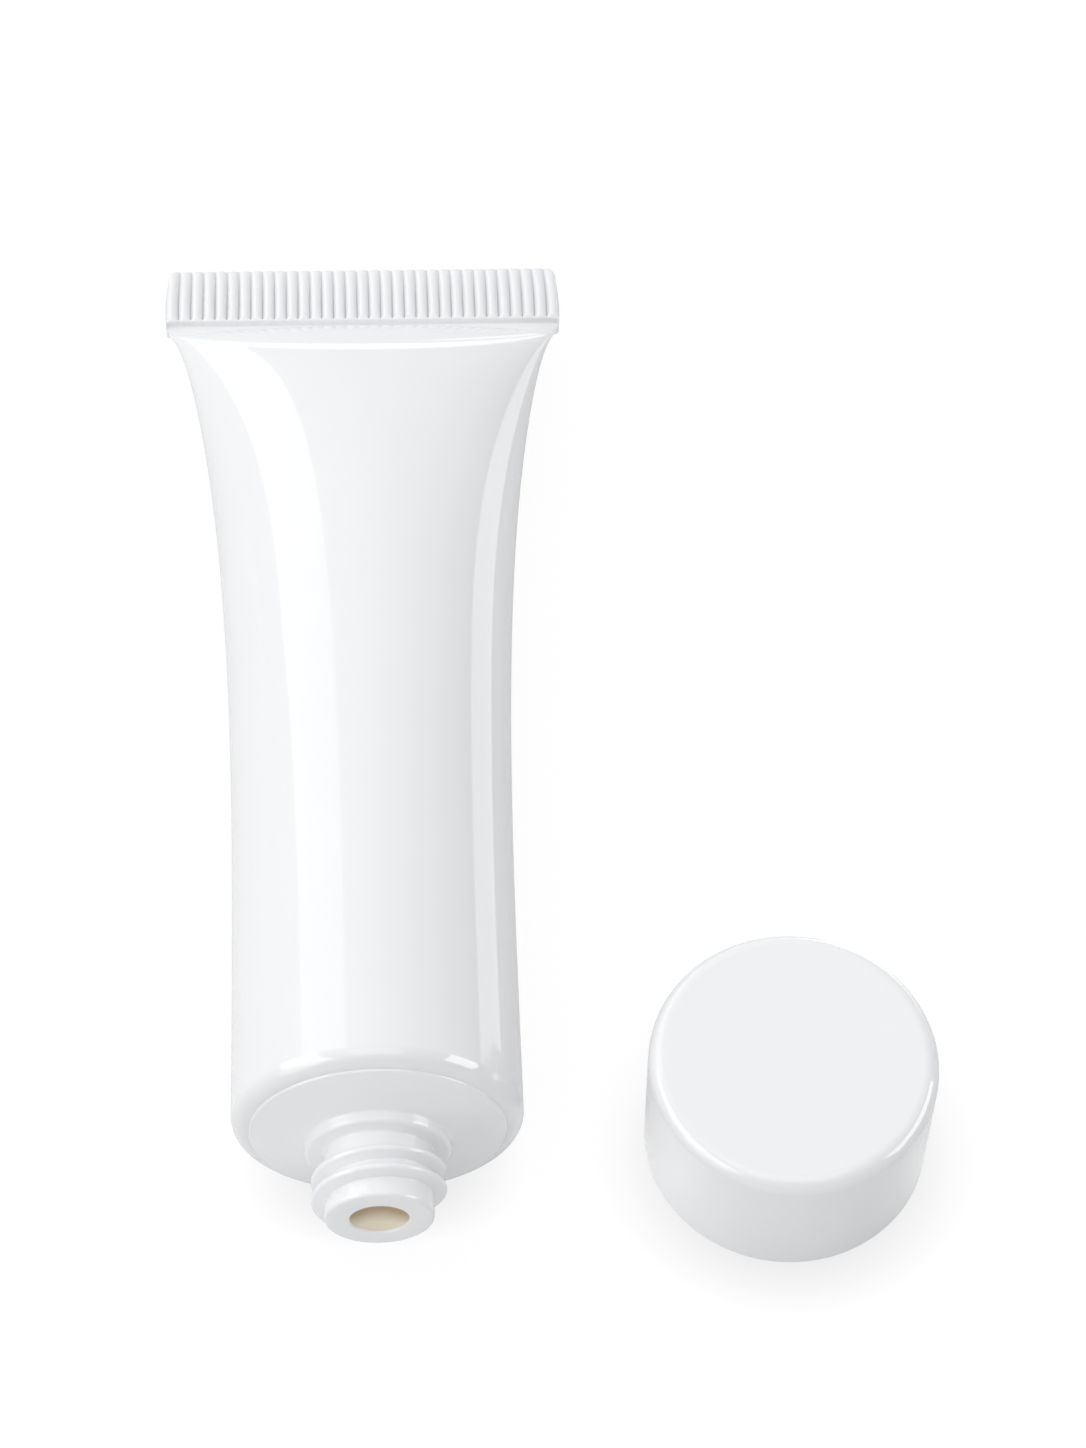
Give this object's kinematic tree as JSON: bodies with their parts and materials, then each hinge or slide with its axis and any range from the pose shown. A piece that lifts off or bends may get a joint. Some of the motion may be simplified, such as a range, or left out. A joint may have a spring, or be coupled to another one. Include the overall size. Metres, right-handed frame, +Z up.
{
  "type": "cosmetic tube",
  "caption": "Squeeze tube for cosmetic cream with a ribbed crimp seal, shoulder and threaded nozzle neck, lying on its side with its round screw cap taken off beside it.",
  "frame": {"origin": "middle of the overall box, on the surface that the tube and the cap rest on", "axes": "+Z up, +Y along the tube from its neck to its crimped seal, +X from the tube towards the cap"},
  "size_m": [0.0684, 0.1076, 0.0247],
  "materials": {
    "sleeve_plastic": "glossy white",
    "head_plastic": "glossy white",
    "cream": "soft beige cream",
    "cap_plastic": "satin white"
  },
  "bodies": {
    "root": {"tube_sleeve": "sleeve_plastic", "tube_head": "head_plastic", "cream_fill": "cream", "screw_cap": "cap_plastic"}
  },
  "joints": []
}
